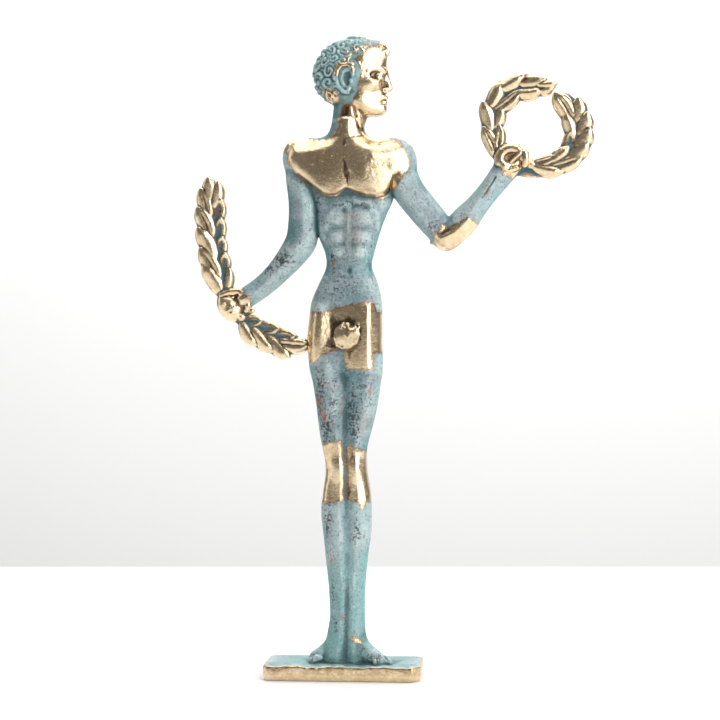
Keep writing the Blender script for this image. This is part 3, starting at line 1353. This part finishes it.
def finish_of(spots, normals, edges):
    """For each vertex: how far inside a rubbed place it is, its hollowness and its stains."""
    x, y, z = spots.T
    fine = averaged(spots, edges, 2) - spots
    broad = averaged(spots, edges, 14) - spots
    form = averaged(spots, edges, 60) - spots
    hollow = (fine * normals).sum(1) / 0.05 + (broad * normals).sum(1) / 0.3
    hollow = averaged(np.clip(hollow, -2, 2), edges, 1)
    form = averaged(np.clip((form * normals).sum(1) / 0.55, -2, 2), edges, 2)
    front = [CHEST, ELBOW, LOINS, LEFT_KNEE, RIGHT_KNEE, ANKLE, FACE, NAPE]
    rear = [BACK_SHOULDERS, BACK_SEAT, ELBOW, FACE, NAPE]
    ahead = np.full(len(x), -9.0)
    behind = np.full(len(x), -9.0)
    for outline in front:
        ahead = np.maximum(ahead, inside(outline, x, z))
    for outline in rear:
        behind = np.maximum(behind, inside(outline, x, z))
    turn = smoothstep((y + 1.0) / 2.0)
    rubbed = ahead * (1 - turn) + behind * turn
    laurel = laurel_zone(x, z)
    raised = np.minimum((np.abs(y) - 1.2) * 1.1 - 0.5 * hollow, laurel)
    rubbed = np.maximum(rubbed, raised)
    locks = np.minimum(inside(TEMPLE, x, z), -0.9 * hollow - 0.2)
    rubbed = np.maximum(rubbed, locks)
    helix = np.minimum(0.8 - near_line(HELIX, x, z), (np.abs(y) - 6.2) * 1.5)
    rubbed = np.maximum(rubbed, helix)
    side = np.hypot(normals[:, 0], normals[:, 1])
    rim = np.minimum((PLATE["thickness"] + 0.1 - z) * 1.5, (side - 0.5) * 4)
    low = z < PLATE["thickness"] + 0.3
    rubbed = np.where(low, np.clip(rim, -2, 2), rubbed)
    upper_band = smoothstep((z - 1.7) / 0.9)
    brown = np.where(low, 0.35 + 0.4 * upper_band, spread_of(BROWN_PLACES, x, z))
    facing = smoothstep((np.abs(normals[:, 1]) - 0.55) / 0.4)
    recess = smoothstep((2.0 - np.abs(y)) / 0.8) * smoothstep(laurel / 1.0)
    return {
        "rubbed": np.clip(rubbed, -3, 3),
        "hollow": hollow + 1.1 * recess,
        "form": form,
        "facing": averaged(facing, edges, 2),
        "pale": pale_of(x, z),
        "dark": spread_of(DARK_STAINS, x, z),
        "copper": spread_of(COPPER_STAINS, x, z),
        "brown": brown,
    }


def casting():
    field = Field((-54.0, -2.4, -14.6), (88.0, 220.0, 14.6))
    plate(field)
    trunk(field)
    legs(field)
    arms(field)
    head(field)
    feet(field)
    left_hand(field)
    right_hand(field)
    wreath(field)
    sprays(field)
    spots, faces = whole(*skin_of(field))
    spots[:, 2] = np.maximum(spots[:, 2], 0)
    mesh = thinned(mesh_of("raw", spots, faces), FACES)
    spots, normals, edges = arrays_of(mesh)
    uneven = 0.07 * noise(spots, 5.0, 3) + 0.035 * noise(spots, 1.6, 4)
    settled = smoothstep(spots[:, 2] / 1.0)
    spots = spots + normals * (uneven * settled)[:, None]
    mesh.vertices.foreach_set("co", (spots * MM).astype(np.float32).ravel())
    mesh.update()
    for name, values in finish_of(spots, normals, edges).items():
        attribute = mesh.attributes.new(name, "FLOAT", "POINT")
        attribute.data.foreach_set("value", values.astype(np.float32))
    mesh.shade_smooth()
    mesh.name = "statuette"
    piece = bpy.data.objects.new("statuette", mesh)
    bpy.context.scene.collection.objects.link(piece)
    return piece


# The metal


class Nodes:
    """Short calls for a material's nodes."""

    def __init__(self, tree):
        self.tree = tree
        self.tree.nodes.clear()

    def add(self, kind, **values):
        node = self.tree.nodes.new(kind)
        for name, value in values.items():
            setattr(node, name, value)
        return node

    def link(self, source, target):
        self.tree.links.new(source, target)

    def feed(self, target, value):
        if isinstance(value, bpy.types.NodeSocket):
            self.link(value, target)
        else:
            target.default_value = value

    def math(self, kind, a, b=0.0, c=0.0):
        node = self.add("ShaderNodeMath", operation=kind)
        for socket, value in zip(node.inputs, (a, b, c)):
            self.feed(socket, value)
        return node.outputs[0]

    def value_of(self, name):
        return self.add("ShaderNodeAttribute", attribute_name=name).outputs["Fac"]

    def noise(self, size_mm, detail=3.0, rough=0.55, stretch=(1, 1, 1), distort=0.0):
        place = self.add("ShaderNodeTexCoord")
        scaled = self.add("ShaderNodeMapping")
        scaled.inputs["Scale"].default_value = [s / (size_mm * MM) for s in stretch]
        self.link(place.outputs["Object"], scaled.inputs["Vector"])
        made = self.add("ShaderNodeTexNoise")
        made.inputs["Scale"].default_value = 1.0
        made.inputs["Detail"].default_value = detail
        made.inputs["Roughness"].default_value = rough
        made.inputs["Distortion"].default_value = distort
        self.link(scaled.outputs["Vector"], made.inputs["Vector"])
        return made.outputs["Fac"]

    def ramp(self, value, low, high):
        node = self.add("ShaderNodeMapRange", interpolation_type="SMOOTHSTEP")
        for name, number in (("Value", value), ("From Min", low), ("From Max", high)):
            self.feed(node.inputs[name], number)
        return node.outputs["Result"]

    def mix(self, amount, a, b):
        node = self.add("ShaderNodeMix", data_type="RGBA")
        self.feed(node.inputs["Factor"], amount)
        for socket, value in ((node.inputs["A"], a), (node.inputs["B"], b)):
            pass
        self.feed(node.inputs[6], a if isinstance(a, bpy.types.NodeSocket) else (*a, 1))
        self.feed(node.inputs[7], b if isinstance(b, bpy.types.NodeSocket) else (*b, 1))
        return node.outputs[2]

    def blend(self, amount, a, b):
        node = self.add("ShaderNodeMix", data_type="FLOAT")
        self.feed(node.inputs["Factor"], amount)
        self.feed(node.inputs[2], a)
        self.feed(node.inputs[3], b)
        return node.outputs[0]


def brass_material():
    material = bpy.data.materials.new("brass")
    material.use_nodes = True
    n = Nodes(material.node_tree)
    hollow = n.value_of("hollow")
    form = n.value_of("form")
    facing = n.value_of("facing")
    pale = n.value_of("pale")
    stain = n.value_of("dark")
    speck = n.noise(1.0, 5.0, 0.78)
    crumb = n.noise(0.62, 4.0, 0.75, distort=0.4)
    blotch = n.noise(3.0, 5.0, 0.65, distort=0.8)
    cloud = n.noise(9.0, 4.0, 0.55)

    # patina: turquoise in the lee of the forms, dusty grey on the planes that face forward
    teal = n.mix(n.ramp(cloud, 0.35, 0.65), (0.09, 0.24, 0.25), (0.16, 0.37, 0.38))
    teal = n.mix(pale, teal, (0.27, 0.55, 0.53))
    dusty = n.mix(n.ramp(blotch, 0.38, 0.6), (0.17, 0.25, 0.27), (0.36, 0.38, 0.42))
    dusty = n.mix(n.math("MULTIPLY", pale, 0.75), dusty, (0.36, 0.58, 0.58))
    dust_amount = n.math("MULTIPLY", n.ramp(cloud, 0.28, 0.56), facing)
    skin = n.mix(n.math("MULTIPLY_ADD", dust_amount, 0.75, 0.06), teal, dusty)
    skin = n.mix(n.math("MULTIPLY", n.ramp(form, -0.1, -0.75), 0.45), skin, (0.5, 0.54, 0.58))
    skin = n.mix(n.math("MULTIPLY", n.ramp(form, 0.05, 0.6), 0.6), skin, (0.08, 0.18, 0.19))
    crest = n.math("MULTIPLY", n.ramp(hollow, -0.35, -1.2), 0.55)
    skin = n.mix(crest, skin, (0.6, 0.74, 0.72))
    skin = n.mix(n.math("MULTIPLY", n.ramp(crumb, 0.54, 0.66), 0.6), skin, (0.46, 0.68, 0.68))
    cluster = n.math("MULTIPLY_ADD", n.ramp(blotch, 0.34, 0.6), 0.45, 0.4)
    cluster = n.math("MULTIPLY_ADD", stain, 0.6, cluster)
    limit = n.math("MULTIPLY_ADD", stain, 0.1, 0.47)
    pit = n.math("MULTIPLY", n.ramp(speck, limit, n.math("SUBTRACT", limit, 0.09)), cluster)
    pit = n.math("MINIMUM", n.math("MULTIPLY", pit, n.math("MULTIPLY_ADD", pale, -0.45, 1.0)), 1.0)
    tint = n.mix(n.ramp(n.noise(4.0, 3.0, 0.6), 0.46, 0.56), (0.035, 0.06, 0.065), (0.075, 0.05, 0.042))
    skin = n.mix(pit, skin, tint)
    worm = n.math("ABSOLUTE", n.math("SUBTRACT", n.noise(1.5, 4.0, 0.65, distort=1.2), 0.5))
    skin = n.mix(n.math("MULTIPLY", n.ramp(worm, 0.03, 0.006), 0.4), skin, (0.06, 0.09, 0.1))
    ochre = n.ramp(n.noise(1.4, 4.0, 0.7), 0.64, 0.7)
    skin = n.mix(n.math("MULTIPLY", ochre, 0.6), skin, (0.42, 0.27, 0.15))
    copper = n.math("MULTIPLY", n.value_of("copper"), n.ramp(n.noise(0.9, 3.0, 0.6), 0.4, 0.52))
    skin = n.mix(copper, skin, (0.46, 0.17, 0.08))
    deep = n.ramp(hollow, 0.25, 1.3)
    skin = n.mix(n.math("MULTIPLY", deep, 0.8), skin, (0.04, 0.085, 0.095))

    # rubbed brass, with tarnish left in its hollows
    bright = n.mix(n.ramp(n.noise(1.3, 5.0, 0.7), 0.32, 0.7), (0.8, 0.6, 0.36), (0.95, 0.8, 0.56))
    brown = n.math("MULTIPLY", n.value_of("brown"), n.ramp(n.noise(2.0, 5.0, 0.7), 0.3, 0.6))
    bright = n.mix(brown, bright, (0.5, 0.34, 0.19))
    bright = n.mix(n.math("MULTIPLY", n.ramp(hollow, 0.1, 0.8), 0.92), bright, (0.12, 0.075, 0.045))

    # the border between them is broken up at three scales
    ragged = n.math("MULTIPLY", n.math("SUBTRACT", n.noise(0.7, 4.0, 0.8), 0.5), 3.4)
    ragged = n.math("MULTIPLY_ADD", n.math("SUBTRACT", n.noise(3.0, 3.0, 0.6), 0.5), 2.4, ragged)
    edge = n.math("ADD", ragged, n.value_of("rubbed"))
    edge = n.math("MULTIPLY_ADD", hollow, -0.45, edge)
    worn = n.ramp(edge, -0.08, 0.1)
    flecks = n.math("MULTIPLY", n.ramp(hollow, -1.2, -1.7), n.ramp(n.noise(1.5, 3.0, 0.6), 0.55, 0.62))
    worn = n.math("MAXIMUM", worn, n.math("MULTIPLY", flecks, 0.6))
    brown_edge = n.math("MULTIPLY", n.ramp(edge, 0.9, 0.1), n.ramp(edge, -0.3, 0.0))
    bright = n.mix(n.math("MULTIPLY", brown_edge, 0.75), bright, (0.4, 0.19, 0.09))
    rust = n.math("MULTIPLY", n.ramp(edge, -0.7, -0.1), n.ramp(crumb, 0.46, 0.54))
    skin = n.mix(n.math("MULTIPLY", rust, 0.6), skin, (0.2, 0.11, 0.07))

    surface = n.add("ShaderNodeBsdfPrincipled")
    n.link(n.mix(worn, skin, bright), surface.inputs["Base Color"])
    n.link(n.blend(worn, 0.15, 1.0), surface.inputs["Metallic"])
    gloss = n.blend(n.noise(0.8, 3.0, 0.6), 0.12, 0.34)
    n.link(n.blend(worn, n.blend(speck, 0.34, 0.6), gloss), surface.inputs["Roughness"])

    # sand-cast grain under the patina, fine rubbing marks and pits on the bright metal
    sand = n.math("MULTIPLY_ADD", crumb, 0.8, speck)
    sand = n.math("MULTIPLY_ADD", pit, -0.4, sand)
    marks = n.noise(0.55, 3.0, 0.65, stretch=(0.75, 1.0, 1.25), distort=0.6)
    dimples = n.math("MULTIPLY_ADD", n.noise(1.6, 3.0, 0.55), 1.0, n.math("MULTIPLY", marks, 0.4))
    pits = n.ramp(n.noise(0.9, 3.0, 0.65), 0.34, 0.26)
    rubbing = n.math("MULTIPLY_ADD", pits, -0.7, dimples)
    height = n.blend(worn, sand, rubbing)
    bump = n.add("ShaderNodeBump")
    bump.inputs["Strength"].default_value = 0.7
    bump.inputs["Distance"].default_value = 0.14 * MM
    n.link(height, bump.inputs["Height"])
    n.link(bump.outputs["Normal"], surface.inputs["Normal"])
    out = n.add("ShaderNodeOutputMaterial")
    n.link(surface.outputs["BSDF"], out.inputs["Surface"])
    return material


# Stage, light and camera


def plain_material(name, color, roughness):
    material = bpy.data.materials.new(name)
    material.use_nodes = True
    surface = material.node_tree.nodes["Principled BSDF"]
    surface.inputs["Base Color"].default_value = (*color, 1)
    surface.inputs["Roughness"].default_value = roughness
    surface.inputs["Specular IOR Level"].default_value = 0.2
    return material


def slab(name, corners, material):
    mesh = bpy.data.meshes.new(name)
    mesh.from_pydata(corners, [], [(0, 1, 2, 3)])
    mesh.materials.append(material)
    made = bpy.data.objects.new(name, mesh)
    bpy.context.scene.collection.objects.link(made)
    return made


def stage():
    pale = plain_material("pale", (0.9, 0.9, 0.9), 0.6)
    wall = plain_material("wall", (0.86, 0.86, 0.86), 0.8)
    far, near, wide, back, tall = 0.348, -2.2, 3.0, 1.5, 3.0
    corners = [(-wide, near, 0), (wide, near, 0), (wide, far, 0), (-wide, far, 0)]
    slab("floor", [turned(corner) for corner in corners], pale)
    corners = [(-4, back, -1.5), (4, back, -1.5), (4, back, tall), (-4, back, tall)]
    slab("wall", [turned(corner) for corner in corners], wall)
VIEW_TURN = math.radians(4.5)


def turned(point):
    """A point of the stage, turned about the upright axis to face the camera."""
    x, y, z = point
    c, s = math.cos(VIEW_TURN), math.sin(VIEW_TURN)
    return (x * c - y * s, x * s + y * c, z)


def softbox(name, place, target, size, power, color=(1, 1, 1)):
    data = bpy.data.lights.new(name, "AREA")
    data.shape = "RECTANGLE"
    data.size, data.size_y = size
    data.energy = power
    data.color = color
    lamp = bpy.data.objects.new(name, data)
    bpy.context.scene.collection.objects.link(lamp)
    lamp.location = place
    back = np.array(place, float) - np.array(target, float)
    from mathutils import Vector

    lamp.rotation_mode = "QUATERNION"
    lamp.rotation_quaternion = Vector(back).to_track_quat("Z", "Y")


def lights():
    middle = (0.01, 0.0, 0.11)
    softbox("key", (0.9, -0.72, 0.42), middle, (0.95, 1.3), 13.0)
    softbox("top", (0.0, 0.0, 1.2), middle, (1.4, 1.2), 9.5)
    softbox("left", (-1.0, 0.05, 0.4), middle, (0.4, 1.3), 1.6)
    softbox("behind", (0.3, 0.75, 1.1), (0.3, 1.5, -0.2), (2.2, 0.6), 21.0)
    softbox("lower wall", (0.0, 0.6, 0.05), (0.0, 1.5, 0.15), (2.4, 0.1), 2.7)
    world = bpy.data.worlds.new("studio")
    bpy.context.scene.world = world
    world.use_nodes = True
    world.node_tree.nodes["Background"].inputs["Color"].default_value = (0.9, 0.88, 0.86, 1)
    world.node_tree.nodes["Background"].inputs["Strength"].default_value = 0.2


def camera():
    turn = math.radians(4.5)
    away = 0.661
    target = (0.0054, 0.0, 0.1074)
    data = bpy.data.cameras.new("camera")
    data.lens = 97.25
    data.sensor_width = 36.0
    data.clip_start = 0.01
    made = bpy.data.objects.new("camera", data)
    bpy.context.scene.collection.objects.link(made)
    made.location = (target[0] + away * math.sin(turn), target[1] - away * math.cos(turn), target[2])
    made.rotation_euler = (math.pi / 2, 0, turn)
    bpy.context.scene.camera = made


statuette = casting()
statuette.data.materials.append(brass_material())
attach(statuette, "root")
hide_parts("statue")
stage()
lights()
camera()
bpy.context.scene.view_settings.view_transform = "Standard"
